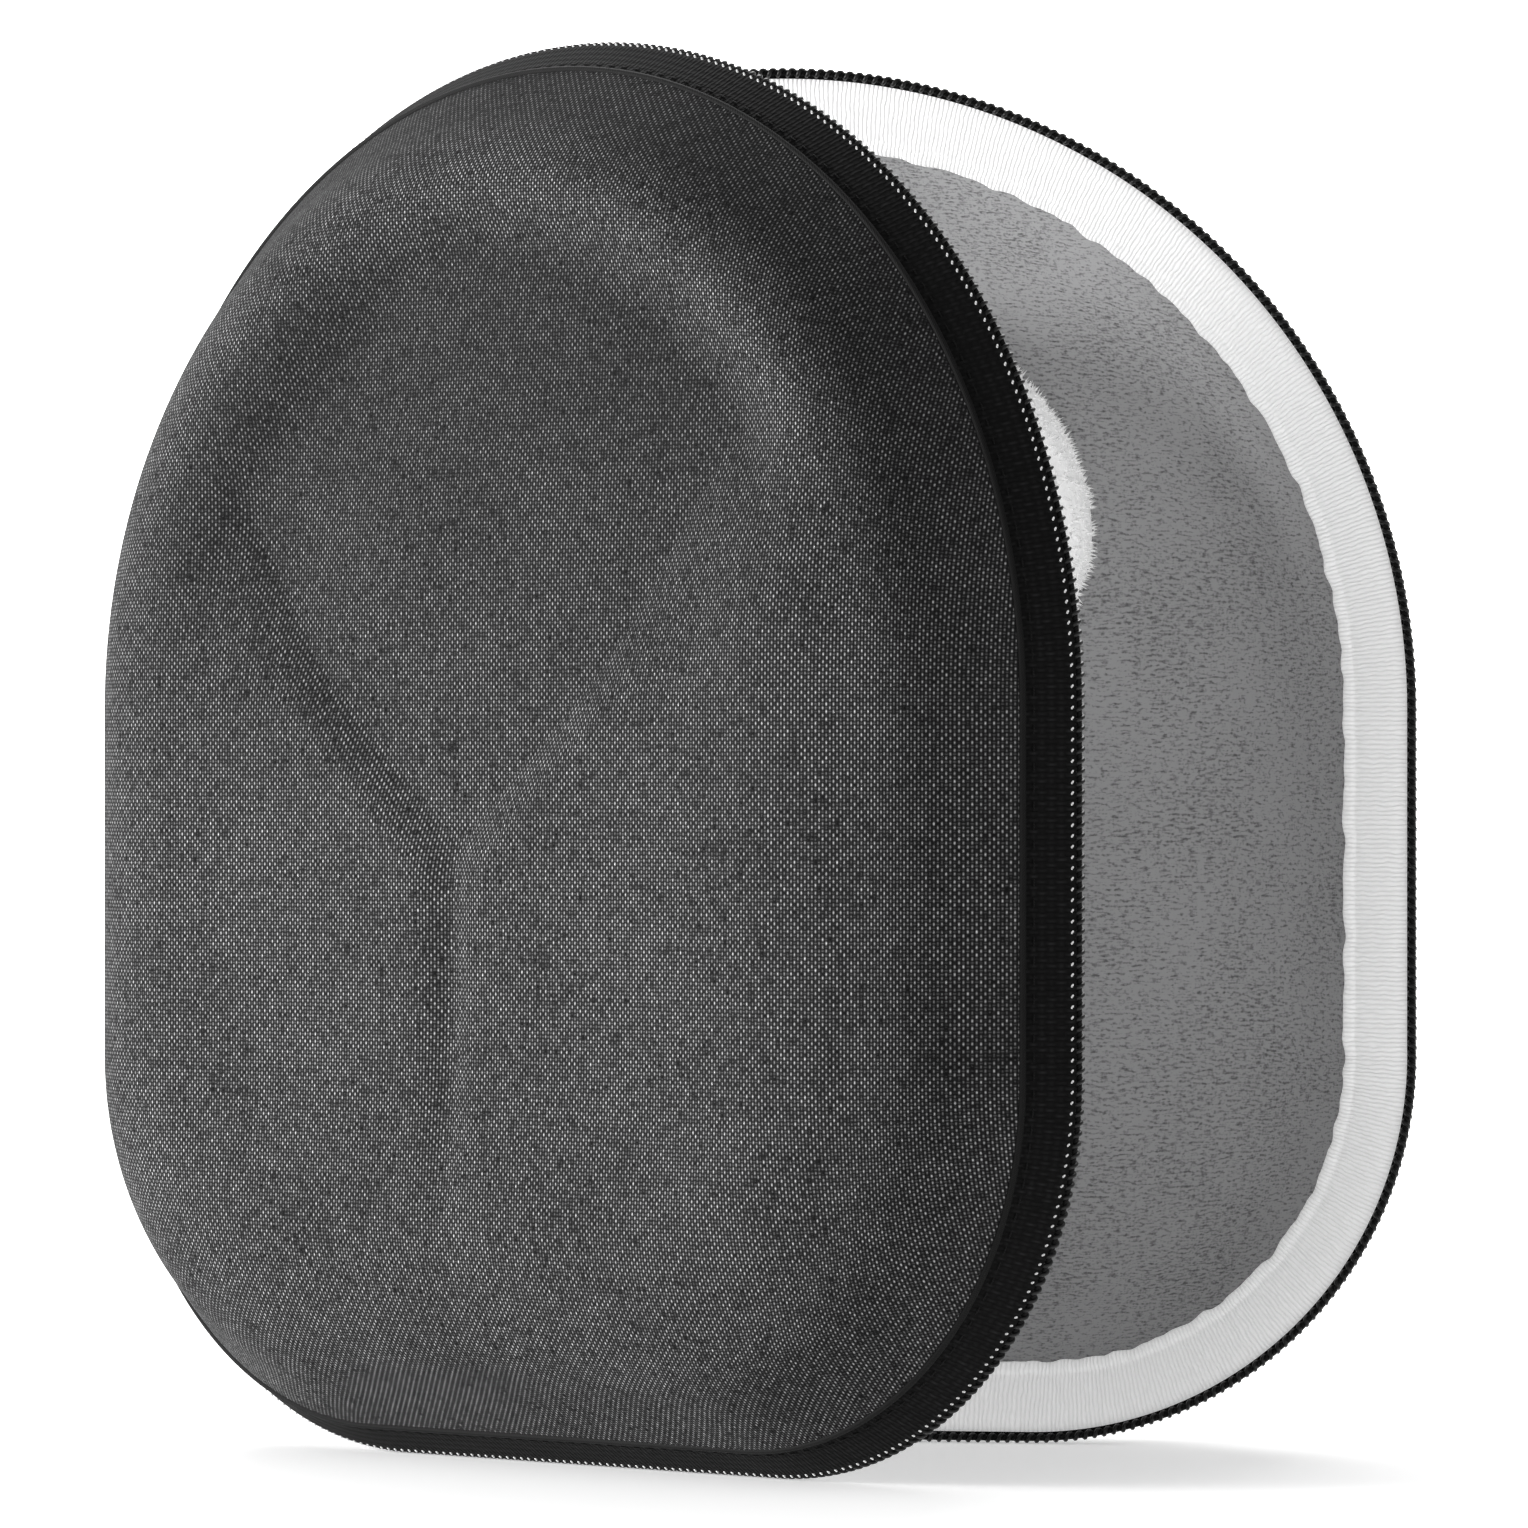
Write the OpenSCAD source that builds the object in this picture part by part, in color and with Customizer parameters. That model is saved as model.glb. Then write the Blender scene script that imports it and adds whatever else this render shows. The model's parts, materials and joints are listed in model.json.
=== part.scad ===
// Hard moulded carrying case for over-ear headphones.
// It stands on its rim like a half-open book: the base half is upright with its mouth towards -Y,
// the lid turns about a vertical cloth hinge on the left side. Z is up, the floor is z = 0.
// A place on either half is given as [inset, depth]: inset from the outline of the zip,
// and depth behind the middle of the zip coil.

/* [Outline] */
// Half of the width across the zip
half_width = 112.3; // [111:0.1:116]
// Height over the zip, standing
height = 240; // [236:1:244]
// Radius of the two bottom corners
corner_r = 67.7; // [66:0.1:72]

/* [Hinge] */
// How far the lid stands open at rest, in degrees
open_angle = 34.4; // [20:0.1:60]
// Lower end of the cloth hinge
hinge_low = 72; // [72:1:76]
// Upper end of the cloth hinge on the base
hinge_high = 122; // [118:1:122]
// Upper end of the cloth hinge on the lid, below the hanging pull
lid_hinge_high = 113; // [108:1:114]

/* [Zip] */
// Width of one coil, across the zip
coil_w = 2.2; // [2:0.1:2.4]
// Thickness of the coil, inwards
coil_t = 1.8; // [1.6:0.1:1.9]
// Gap between the edge of a coil and the plane where the halves meet
coil_gap = 0.6; // [0.5:0.1:0.7]
// Length of a slider along the zip
slider_l = 12; // [10:1:13]
// Length of a pull below its pin
pull_l = 15; // [14:1:19]
// Radius of the pin that a pull hangs on
pin_r = 0.6; // [0.5:0.05:0.7]
// Play between the pin and the eye of the pull
pin_play = 0.05; // [0.03:0.01:0.08]

/* [Walls] */
// Thickness of the woven cover
cover_t = 0.9; // [0.7:0.1:1]
// Thickness of the moulded foam shell
shell_t = 3.6; // [3:0.1:3.8]
// Thickness of the knit lining
lining_t = 1; // [0.8:0.1:1.2]
// Glue line left between two layers
glue = 0.1; // [0.08:0.01:0.15]

/* [Island] */
// Half of the width of the plush island
island_half_w = 52.5; // [46:0.5:56]
// Height of the island's widest place above the floor
island_z = 158; // [150:1:160]
// Rise of the island's rounded top above that place
island_up = 44; // [40:1:45]
// Drop of the island's pointed foot below that place
island_down = 58; // [50:1:60]

/* [Hidden] */

// Plane where the two halves meet, with the hinge axis in it
meet_y = -(coil_w / 2 + coil_gap);
// Height of the centre of the top arch
arch_z = height - half_width;
// Place of the corner arcs' centres from the middle
corner_x = half_width - corner_r;

// Steps round the arch and round one corner
arch_steps = 32;
corner_steps = 10;
island_steps = 14;

// Where the sliders rest, as degrees round their arcs from the side of the hinge
upper_park = 5;
lower_park = 8;
// The lid's tape and collar keep clear of the parked sliders and their pulls between these heights
park_low = 42;
park_high = 152;
park_width = 8;
// The lid's coil stops further off, so that a slider can pass while the lid stands open
coil_low = 38;
coil_high = 165;
// Degrees round the arcs where the lid's coil starts and ends
lid_coil_start = asin((coil_high - arch_z) / half_width);
lid_coil_end = acos(1 - coil_low / corner_r);
// Degrees round the arcs where the base's coil starts and ends, at the zip stops
coil_start = 1;
coil_end = 88;

// ---------- outline ----------
// A station is [x, z, normal x, normal z] on the outline of the zip.
function station(cx, cz, r, nx, nz) = [cx + r * nx, cz + r * nz, nx, nz];
function arch(from, to, n) = [
    for (i = [0:n])
        let (q = from + (to - from) * i / n)
            station(0, arch_z, half_width, -cos(q), sin(q))
];
function right_corner() = [
    for (i = [0:corner_steps])
        let (q = 90 * i / corner_steps)
            station(corner_x, corner_r, corner_r, cos(q), -sin(q))
];
function left_corner(to = 90) = [
    for (i = [0:corner_steps])
        let (q = to * i / corner_steps)
            station(-corner_x, corner_r, corner_r, -sin(q), -cos(q))
];
function side(z) = [-half_width, z, -1, 0];

// Whole outline, and the way of the zip between two places beside the hinge
outline = concat(arch(0, 180, arch_steps), right_corner(), left_corner());
function tape_way(high) = concat([side(high)], outline, [side(hinge_low - 1)]);
function coil_way(start, end) = concat(arch(start, 180, arch_steps), right_corner(), left_corner(end));

// A point of a half, at a station, for [inset, depth]
function place(s, p) = [s[0] - p[0] * s[2], p[1], s[1] - p[0] * s[3]];

// ---------- lofts ----------
// Quads between ring a and ring b of n points, with the seam closed if closed is true
function band(a, b, n, closed = true) = [
    for (i = [0:(closed ? n - 1 : n - 2)])
        let (j = (i + 1) % n)
            for (f = [[a * n + i, b * n + i, b * n + j], [a * n + i, b * n + j, a * n + j]]) f
];
function flat_cap(a, n, turn = false) = [[for (i = [0:n - 1]) a * n + (turn ? i : n - 1 - i)]];
function flipped(faces) = [for (f = faces) back(f)];

// Skin that closes over the middle: rings down the outer side, then back up the inner side.
// The middle is behind the rim, or before it if forward is true
module skin(way, outer, inner, forward = false) {
    n = len(way);
    m = len(outer);
    rings = concat(outer, inner);
    last = len(rings) - 1;
    points = [for (p = rings) for (s = way) place(s, p)];
    walls = [for (k = [0:last]) if (k != m - 1) each band(k, (k + 1) % (last + 1), n)];
    faces = concat(walls, flat_cap(m - 1, n), flat_cap(m, n, true));
    polyhedron(points, forward ? flipped(faces) : faces);
}

// Ring of one section all the way round
module hoop(way, section) {
    n = len(way);
    m = len(section(way[0]));
    points = [for (k = [0:m - 1]) for (s = way) place(s, section(s)[k])];
    polyhedron(points, [for (k = [0:m - 1]) each band(k, (k + 1) % m, n)]);
}

// Strip of one section along an open way, with an end face at each end
module strip(way, section) {
    n = len(way);
    m = len(section(way[0]));
    points = [for (k = [0:m - 1]) for (s = way) place(s, section(s)[k])];
    walls = [for (k = [0:m - 1]) each band(k, (k + 1) % m, n, false)];
    first = [[for (k = [m - 1:-1:0]) k * n]];
    end = [[for (k = [0:m - 1]) k * n + n - 1]];
    polyhedron(points, concat(walls, first, end));
}

// ---------- sections ----------
// Outer face of a half from the tape's seam over the wall to the crowned face
wall_line = [[5.3, 9], [8.4, 13], [11.8, 17], [15.5, 21], [20, 25.6], [26.5, 30], [34, 33.2]];
base_line = concat(wall_line, [[42, 34.8]]);
// The lid swells into a band round a sunken middle
lid_line = concat(wall_line, [[42, 35.4], [50, 34.2], [58, 31], [62, 30]]);
lining_first = 1;

// The line moved inwards by t, at right angles to itself
function unit(v) = v / norm(v);
function inward(line, k, t) =
    let (
        last = len(line) - 1,
        a = line[max(k - 1, 0)],
        b = line[min(k + 1, last)],
        d = (k == last) ? [1, 0] : unit(b - a)
    )
    line[k] + t * [d[1], -d[0]];
function moved(line, t, first = 0) = [for (k = [first:len(line) - 1]) inward(line, k, t)];
function back(list) = [for (k = [len(list) - 1:-1:0]) list[k]];

// Edge of the shell, a wedge between the zip tape and the collar
shell_nose = [[3, 2.4], [6.2, 7.7]];
shell_lip = [[11.8, 9.8], [11.1, 8], [4.1, 2.3]];

// Tape beside the coil; on the lid it is narrower where the sliders park
tape_full = [[0.35, 1.25], [5.1, 8.3], [5.95, 7.75], [1.5, 1.25]];
tape_narrow = [[2.2, 4], [5.1, 8.3], [5.95, 7.75], [3.2, 3.8]];
function parked(s) = s[0] < park_width - half_width && s[1] > park_low && s[1] < park_high;
tape_section = function (s) tape_full;
lid_tape_section = function (s) parked(s) ? tape_narrow : tape_full;

// Coil, with its outer run flat for the case to stand on and its two outer corners taken off
coil_flat = 0.8;
coil_bevel = 0.6;
coil_section = function (s) [
    [0, -coil_flat], [0, coil_flat], [coil_bevel, coil_w / 2],
    [coil_t, coil_w / 2], [coil_t, -coil_w / 2], [coil_bevel, -coil_w / 2]
];
seam_section = function (s) [[5.05, 8.4], [5.2, 8.85], [5.7, 8.7], [5.7, 8.3]];
stitch_section = function (s) [[0.15, 1.45], [0.25, 1.8], [0.5, 1.8], [0.4, 1.45]];

// White collar from the coil down to its rolled edge inside the mouth
collar_low = [[12.4, 6.6], [13.7, 8.8], [12.7, 9.4], [11.6, 7.7]];
collar_section = function (s) concat([[4, 0.3]], collar_low, [[4, 1.9]]);
lid_collar_section = function (s) parked(s) ? concat([[6.8, 2.4]], collar_low, [[6.8, 4]]) : collar_section(s);

// Cloth and lining of the hinge
hinge_section = function (s) [
    [0.15, -0.9], [0.35, 1.25], [5.1, 8.3], [5.95, 7.75], [1.5, 1.25], [0.75, -0.9]
];
hinge_lining_section = function (s) [[1.7, 0.1], [3.9, 0.4], [3.9, 1.3], [1.7, 1]];
lid_hinge_lining_section = function (s) [[1.7, 0.1], [6.6, 2.3], [6.6, 3.2], [1.7, 1]];

// ---------- halves ----------
// Moves a half built as a base to where the lid stands
module on_lid() {
    translate([-half_width, meet_y, 0])
        rotate([0, 0, -open_angle])
            translate([half_width, meet_y, 0])
                mirror([0, 1, 0])
                    children();
}

module half_cover(line) {
    skin(outline, line, back(moved(line, cover_t)));
}
module half_shell(line) {
    top = cover_t + glue;
    outer = concat(shell_nose, moved(line, top));
    inner = concat(back(moved(line, top + shell_t, lining_first)), shell_lip);
    skin(outline, outer, inner);
}
module half_lining(line) {
    top = cover_t + shell_t + 2 * glue;
    skin(outline, moved(line, top, lining_first), back(moved(line, top + lining_t, lining_first)));
}

module base_shell() {
    color("dimgray")
        half_shell(base_line);
}
module base_cover() {
    color("#3f3f3f")
        half_cover(base_line);
}
module base_lining() {
    color("darkgray")
        half_lining(base_line);
}
module base_collar() {
    color("whitesmoke")
        hoop(outline, collar_section);
}
module base_zip_tape() {
    color("#1a1a1a")
        strip(tape_way(hinge_high + 1), tape_section);
}
module base_zip_coil() {
    color("black")
        strip(coil_way(coil_start, coil_end), coil_section);
}
module base_seam_thread() {
    color("#202020")
        hoop(outline, seam_section);
}
module base_coil_thread() {
    color("gray")
        strip(coil_way(coil_start, coil_end), stitch_section);
}
module base_hinge_cloth() {
    color("#1a1a1a")
        strip([side(hinge_high), side(hinge_low)], hinge_section);
}
module base_hinge_lining() {
    color("whitesmoke")
        strip([side(hinge_high), side(hinge_low)], hinge_lining_section);
}

module lid_shell() {
    color("dimgray")
        on_lid()
            half_shell(lid_line);
}
module lid_cover() {
    color("#3f3f3f")
        on_lid()
            half_cover(lid_line);
}
module lid_lining() {
    color("darkgray")
        on_lid()
            half_lining(lid_line);
}
module lid_collar() {
    color("whitesmoke")
        on_lid()
            hoop(outline, lid_collar_section);
}
module lid_zip_tape() {
    color("#1a1a1a")
        on_lid()
            strip(tape_way(lid_hinge_high + 1), lid_tape_section);
}
module lid_zip_coil() {
    color("black")
        on_lid()
            strip(coil_way(lid_coil_start, lid_coil_end), coil_section);
}
module lid_seam_thread() {
    color("#202020")
        on_lid()
            hoop(outline, seam_section);
}
module lid_coil_thread() {
    color("gray")
        on_lid()
            strip(coil_way(lid_coil_start, lid_coil_end), stitch_section);
}
module lid_hinge_cloth() {
    color("#1a1a1a")
        on_lid()
            strip([side(lid_hinge_high), side(hinge_low)], hinge_section);
}
module lid_hinge_lining() {
    color("whitesmoke")
        on_lid()
            strip([side(lid_hinge_high), side(hinge_low)], lid_hinge_lining_section);
}

// ---------- zip stops ----------
// One stop sits just past each end of the base's coil, clamped over the edge of the tape
stop_l = 3.4;
stop_gap = 0.6;
stop_over = 0.2;
stop_w = coil_w + stop_over;
upper_stop_z = arch_z + half_width * sin(coil_start) - stop_gap - stop_l;
lower_stop_z = corner_r * (1 - cos(coil_end)) + stop_gap;
module zip_stops() {
    color("silver")
        for (z = [upper_stop_z, lower_stop_z])
            translate([-half_width - stop_over, -stop_w / 2, z])
                cube([coil_t + 2 * stop_over, stop_w, stop_l]);
}

// ---------- island ----------
// Pointedness of the island's foot
foot_power = 1.5;
island_way = concat(
    [for (i = [0:island_steps - 1])
        let (q = 180 * i / island_steps)
            island_station(-cos(q) * island_half_w, sin(q) * island_up, q, 2, island_up)],
    [for (i = [0:island_steps - 1])
        let (
            q = 180 * i / island_steps,
            x = sign(cos(q)) * pow(abs(cos(q)), 2 / foot_power),
            z = -pow(sin(q), 2 / foot_power)
        )
            island_station(x * island_half_w, z * island_down, q, foot_power, island_down)]
);
// A station of the island; its normal comes from the curve (x/a)^p + (z/b)^p = 1
function island_station(x, z, q, p, b) =
    let (
        nx = sign(x) * pow(abs(x) / island_half_w, p - 1) / island_half_w,
        nz = sign(z) * pow(abs(z) / b, p - 1) / b,
        n = unit([nx, nz])
    )
    [x, island_z + z, n[0], n[1]];

island_line = [[1.2, 28.1], [0, 24], [0.6, 17], [4, 12], [11, 9.8]];
plush_t = 1.8;
module island_core() {
    line = moved(island_line, -plush_t - glue);
    n = len(island_way);
    m = len(line);
    points = [for (p = line) for (s = island_way) place(s, [p[0], min(p[1], island_line[0][1])])];
    walls = [for (k = [0:m - 2]) each band(k, k + 1, n)];
    color("gainsboro")
        polyhedron(points, flipped(concat(walls, flat_cap(m - 1, n), flat_cap(0, n, true))));
}
module island_cover() {
    color("white")
        skin(island_way, island_line, back(moved(island_line, -plush_t)), true);
}

// ---------- sliders and pulls ----------
// Across the zip: the outer plate with its two lips, the inner plate, and the post between the coils
plate_half = 3.9;
plate_gap = 0.35;
plate_t = 1.2;
lip_t = 0.8;
lip_gap = 0.1;
inner_half = 2.5;
inner_from = 2.6;
inner_t = 0.9;
post_half = 0.3;
post_share = 0.3;
ear_gap = 1.8;
ear_t = 1.1;
ear_w = 3;
ear_h = 3.6;
pin_out = 3.4;
eye_r = 1.4;
pull_w = 5;
pull_t = 1.2;
neck_l = 3;
// Play of the pull between the two ears, and how far its neck runs into its blade
ear_play = 0.2;
neck_over = 1;
slot_w = 2;

// Turns what is drawn at +X, with +Y round the arc and +Z across the zip, to a place on an arc
module on_arc(cx, cz, turn) {
    translate([cx, meet_y, cz])
        rotate([90, 0, 0])
            rotate([0, 0, turn])
                children();
}
module arc_piece(degrees, section) {
    rotate([0, 0, -degrees / 2])
        rotate_extrude(angle = degrees, $fn = 200)
            polygon(section);
}
module slider_body(r) {
    span = slider_l / r * 180 / PI;
    out = r + plate_gap + plate_t;
    union() {
        arc_piece(span, [
            [out, -plate_half], [out, plate_half], [r + lip_gap, plate_half],
            [r + lip_gap, plate_half - lip_t], [r + plate_gap, plate_half - lip_t],
            [r + plate_gap, -plate_half + lip_t], [r + lip_gap, -plate_half + lip_t],
            [r + lip_gap, -plate_half]
        ]);
        arc_piece(span, [
            [r - inner_from, -inner_half], [r - inner_from, inner_half],
            [r - inner_from - inner_t, inner_half], [r - inner_from - inner_t, -inner_half]
        ]);
        arc_piece(span * post_share, [
            [r - inner_from - inner_t / 2, -post_half], [r + plate_gap + plate_t / 2, -post_half],
            [r + plate_gap + plate_t / 2, post_half], [r - inner_from - inner_t / 2, post_half]
        ]);
        for (s = [-1, 1])
            translate([r + plate_gap + plate_t / 2, -ear_w / 2, s * (ear_gap + ear_t / 2) - ear_t / 2])
                difference() {
                    cube([ear_h + plate_t / 2, ear_w, ear_t]);
                    translate([pin_out - plate_gap - plate_t / 2, ear_w / 2, -1])
                        cylinder(r = pin_r, h = ear_t + 2, $fn = 48);
                }
    }
}
module slider_pin(r) {
    pin_l = 2 * (ear_gap + ear_t);
    translate([r + pin_out, 0, -pin_l / 2])
        cylinder(r = pin_r, h = pin_l, $fn = 48);
}
// The pull hangs along +Y of the arc, turned by lean so that it hangs plumb
module pull_body(r, lean) {
    width = 2 * ear_gap - ear_play;
    translate([r + pin_out, 0, 0])
        rotate([0, 0, lean])
            difference() {
                union() {
                    translate([0, 0, -width / 2])
                        cylinder(r = eye_r, h = width, $fn = 48);
                    translate([-pull_t / 2, 0, -width / 2])
                        cube([pull_t, neck_l + neck_over, width]);
                    translate([-pull_t / 2, neck_l, -pull_w / 2])
                        cube([pull_t, pull_l - neck_l - pull_w / 2, pull_w]);
                    translate([-pull_t / 2, pull_l - pull_w / 2, 0])
                        rotate([0, 90, 0])
                            cylinder(d = pull_w, h = pull_t, $fn = 48);
                }
                translate([0, 0, -width])
                    cylinder(r = pin_r + pin_play, h = 2 * width, $fn = 48);
                translate([-pull_t, pull_l - pull_w / 2, 0])
                    rotate([0, 90, 0])
                        cylinder(d = slot_w, h = 2 * pull_t, $fn = 32);
            }
}

module upper_slider() {
    color("#262626")
        on_arc(0, arch_z, 180 - upper_park)
            slider_body(half_width);
}
module upper_slider_pin() {
    color("gray")
        on_arc(0, arch_z, 180 - upper_park)
            slider_pin(half_width);
}
module upper_pull() {
    color("#262626")
        on_arc(0, arch_z, 180 - upper_park)
            pull_body(half_width, upper_park);
}
module lower_slider() {
    color("#262626")
        on_arc(-corner_x, corner_r, 180 + lower_park)
            slider_body(corner_r);
}
module lower_slider_pin() {
    color("gray")
        on_arc(-corner_x, corner_r, 180 + lower_park)
            slider_pin(corner_r);
}
module lower_pull() {
    color("#262626")
        on_arc(-corner_x, corner_r, 180 + lower_park)
            pull_body(corner_r, -lower_park);
}

base_shell();
base_cover();
base_lining();
base_collar();
base_zip_tape();
base_zip_coil();
base_seam_thread();
base_coil_thread();
base_hinge_cloth();
base_hinge_lining();
zip_stops();
island_core();
island_cover();
lid_shell();
lid_cover();
lid_lining();
lid_collar();
lid_zip_tape();
lid_zip_coil();
lid_seam_thread();
lid_coil_thread();
lid_hinge_cloth();
lid_hinge_lining();
upper_slider();
upper_slider_pin();
upper_pull();
lower_slider();
lower_slider_pin();
lower_pull();
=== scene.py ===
import json
import math

import bmesh
import bpy
import numpy as np
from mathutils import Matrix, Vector


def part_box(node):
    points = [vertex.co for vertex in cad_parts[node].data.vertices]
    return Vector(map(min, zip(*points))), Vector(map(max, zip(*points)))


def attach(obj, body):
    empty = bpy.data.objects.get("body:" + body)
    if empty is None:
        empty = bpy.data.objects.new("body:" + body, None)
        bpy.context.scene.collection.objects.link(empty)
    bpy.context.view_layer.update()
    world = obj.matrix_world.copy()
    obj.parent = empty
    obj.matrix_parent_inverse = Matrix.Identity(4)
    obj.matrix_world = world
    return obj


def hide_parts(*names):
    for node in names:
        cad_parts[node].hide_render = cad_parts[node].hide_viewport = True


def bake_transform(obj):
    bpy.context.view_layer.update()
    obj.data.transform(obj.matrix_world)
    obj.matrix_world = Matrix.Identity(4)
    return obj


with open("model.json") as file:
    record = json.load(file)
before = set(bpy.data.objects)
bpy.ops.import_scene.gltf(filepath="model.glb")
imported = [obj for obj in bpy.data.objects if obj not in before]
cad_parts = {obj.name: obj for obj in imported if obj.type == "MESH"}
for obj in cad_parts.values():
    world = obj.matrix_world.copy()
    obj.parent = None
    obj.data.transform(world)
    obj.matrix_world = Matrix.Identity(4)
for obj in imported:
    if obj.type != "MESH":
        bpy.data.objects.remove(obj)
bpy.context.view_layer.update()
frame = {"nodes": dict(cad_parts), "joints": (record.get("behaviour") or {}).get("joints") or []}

# Stage. The case stands on a large pale table that glows a little, in a dim room, before a lit
# white card. One wide lamp stands low on the left and a second hangs over the table behind the
# case. The lens is long and level with the middle of the case.
camera = bpy.data.objects.new("camera", bpy.data.cameras.new("camera"))
bpy.context.scene.collection.objects.link(camera)
bpy.context.scene.camera = camera
camera.data.sensor_width = 36
camera.data.lens = 236.6
camera.location = (0.2946, -1.7306, 0.120)
camera.rotation_euler = Vector((-0.169, 0.985, -0.001)).to_track_quat("-Z", "Y").to_euler()

bpy.context.scene.view_settings.view_transform = "Standard"

# Half of the length of a side of the table, in metres
table_half = 20
table = bpy.data.objects.new("table", bpy.data.meshes.new("table"))
table.data.from_pydata(
    [(x * table_half, y * table_half, 0) for x, y in ((-1, -1), (1, -1), (1, 1), (-1, 1))],
    [],
    [(0, 1, 2, 3)],
)
bpy.context.scene.collection.objects.link(table)
paper = bpy.data.materials.new("pale_paper")
paper.use_nodes = True
paper.node_tree.nodes["Principled BSDF"].inputs["Base Color"].default_value = (0.95, 0.95, 0.95, 1)
paper.node_tree.nodes["Principled BSDF"].inputs["Roughness"].default_value = 0.9
paper.node_tree.nodes["Principled BSDF"].inputs["Emission Color"].default_value = (1, 1, 1, 1)
paper.node_tree.nodes["Principled BSDF"].inputs["Emission Strength"].default_value = 0.3
table.data.materials.append(paper)

room = bpy.data.worlds.new("pale_room")
room.use_nodes = True
room.node_tree.nodes["Background"].inputs["Color"].default_value = (1, 1, 1, 1)
room.node_tree.nodes["Background"].inputs["Strength"].default_value = 0.48
bpy.context.scene.world = room


def soft_lamp(name, place, aim, size, power):
    """A square lamp that points from a place to another."""
    lamp = bpy.data.objects.new(name, bpy.data.lights.new(name, "AREA"))
    lamp.data.shape = "SQUARE"
    lamp.data.size = size
    lamp.data.energy = power
    lamp.location = place
    lamp.rotation_euler = (Vector(aim) - Vector(place)).to_track_quat("-Z", "Y").to_euler()
    bpy.context.scene.collection.objects.link(lamp)


soft_lamp("left_lamp", (-1.7, -0.6, 0.35), (0, 0, 0.12), 0.8, 62)
soft_lamp("table_lamp", (-0.3, 1.7, 1.6), (-0.3, 1.7, 0), 2.0, 62)

card = bpy.data.objects.new("card", bpy.data.meshes.new("card"))
card_left, card_right = -1.8, 0.7
card_back = 3.2
card_high = 1.2
card.data.from_pydata(
    [
        (card_left, card_back, 0),
        (card_right, card_back, 0),
        (card_right, card_back, card_high),
        (card_left, card_back, card_high),
    ],
    [],
    [(0, 1, 2, 3)],
)
bpy.context.scene.collection.objects.link(card)
lit = bpy.data.materials.new("lit_card")
lit.use_nodes = True
lit.node_tree.nodes["Principled BSDF"].inputs["Emission Color"].default_value = (1, 1, 1, 1)
lit.node_tree.nodes["Principled BSDF"].inputs["Emission Strength"].default_value = 1.1
card.data.materials.append(lit)

# Foam shells. Each half is a 3.6 mm sheet of closed-cell foam, pressed hot between two moulds
# into a deep tray. The base's tray has a flat back. The lid's swells into a band round a sunken
# middle, which ends below in a V between the two swells over the ear cups.
coil_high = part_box("base_zip_coil")[1]
half_width = coil_high.x * 1000
height = coil_high.z * 1000
corner_r = 67.7
arch_z = height - half_width
corner_x = half_width - corner_r
hinge = next(j for j in frame["joints"] if j["name"] == "lid_hinge")
meet_y = hinge["pos_m"][1] * 1000
open_angle = math.radians(-hinge["range_deg"][0])

# The zip's outline, clockwise from the shoulder beside the hinge: centre x and z, radius,
# first and last angle of each arc, with straight runs between the arcs
arcs = [
    (0, arch_z, half_width, 180, 0),
    (corner_x, corner_r, corner_r, 0, -90),
    (-corner_x, corner_r, corner_r, -90, -180),
]
turns = [radius * math.radians(first - last) for _, _, radius, first, last in arcs]
runs = [arch_z - corner_r, 2 * corner_x, arch_z - corner_r]
girth = sum(turns) + sum(runs)


def stations(way):
    """Places and outward normals [x, z, nx, nz] on the outline, at distances along it."""
    way = np.mod(way, girth)
    found = np.zeros((len(way), 4))
    start = 0
    for (cx, cz, radius, first, last), turn, run in zip(arcs, turns, runs):
        here = (way >= start - 1e-9) & (way <= start + turn + run)
        angle = np.radians(first + (last - first) * np.clip((way[here] - start) / turn, 0, 1))
        nx, nz = np.cos(angle), np.sin(angle)
        on = np.clip(way[here] - start - turn, 0, None)
        found[here] = np.stack([cx + radius * nx + on * nz, cz + radius * nz - on * nx, nx, nz], 1)
        start += turn + run
    return found


def smooth(share):
    """0 below 0, 1 above 1, and an even turn between."""
    share = np.clip(share, 0, 1)
    return share * share * (3 - 2 * share)


def curve_through(line, at):
    """Heights of a smooth curve through [place, height] points."""
    x, y = np.array(line, float).T
    slope = np.gradient(y, x)
    k = np.clip(np.searchsorted(x, at) - 1, 0, len(x) - 2)
    span = x[k + 1] - x[k]
    t = np.clip((at - x[k]) / span, 0, 1)
    swell = (t**3 - 2 * t**2 + t) * span * slope[k] + (t**3 - t**2) * span * slope[k + 1]
    return y[k] + (y[k + 1] - y[k]) * (3 * t**2 - 2 * t**3) + swell


def inset(x, z):
    """Distance inwards from the outline."""
    past_x, past_z = np.abs(x) - corner_x, corner_r - z
    straight = corner_r - np.maximum(past_x, past_z)
    corner = corner_r - np.hypot(past_x, past_z)
    low = np.where((past_x > 0) & (past_z > 0), corner, straight)
    return np.where(z > arch_z, half_width - np.hypot(x, z - arch_z), low)


# Depth of each outer face at places inwards from the outline
wall_foot = [(5.3, 9), (8.4, 13), (11.8, 17)]
base_wall = wall_foot + [(15.5, 21), (20, 25.6), (26.5, 30), (34, 33.2)]
lid_wall = wall_foot + [(15.5, 22), (20, 26.8), (26.5, 31.2), (34, 34)]
face_lines = {
    "base": base_wall + [(42, 34.8), (60, 34.8), (114, 34.8)],
    "lid": lid_wall + [(41, 35.1), (50, 34.9), (62, 34.4), (114, 34.4)],
}
# The lid's wall swells a little more away from the hinge: how much, how far in and how widely,
# and the stretch across the lid over which the swell sets in
swell_high = 2.6
swell_in = 14
swell_half = 6.5
swell_from = -10
swell_run = 60
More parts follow.
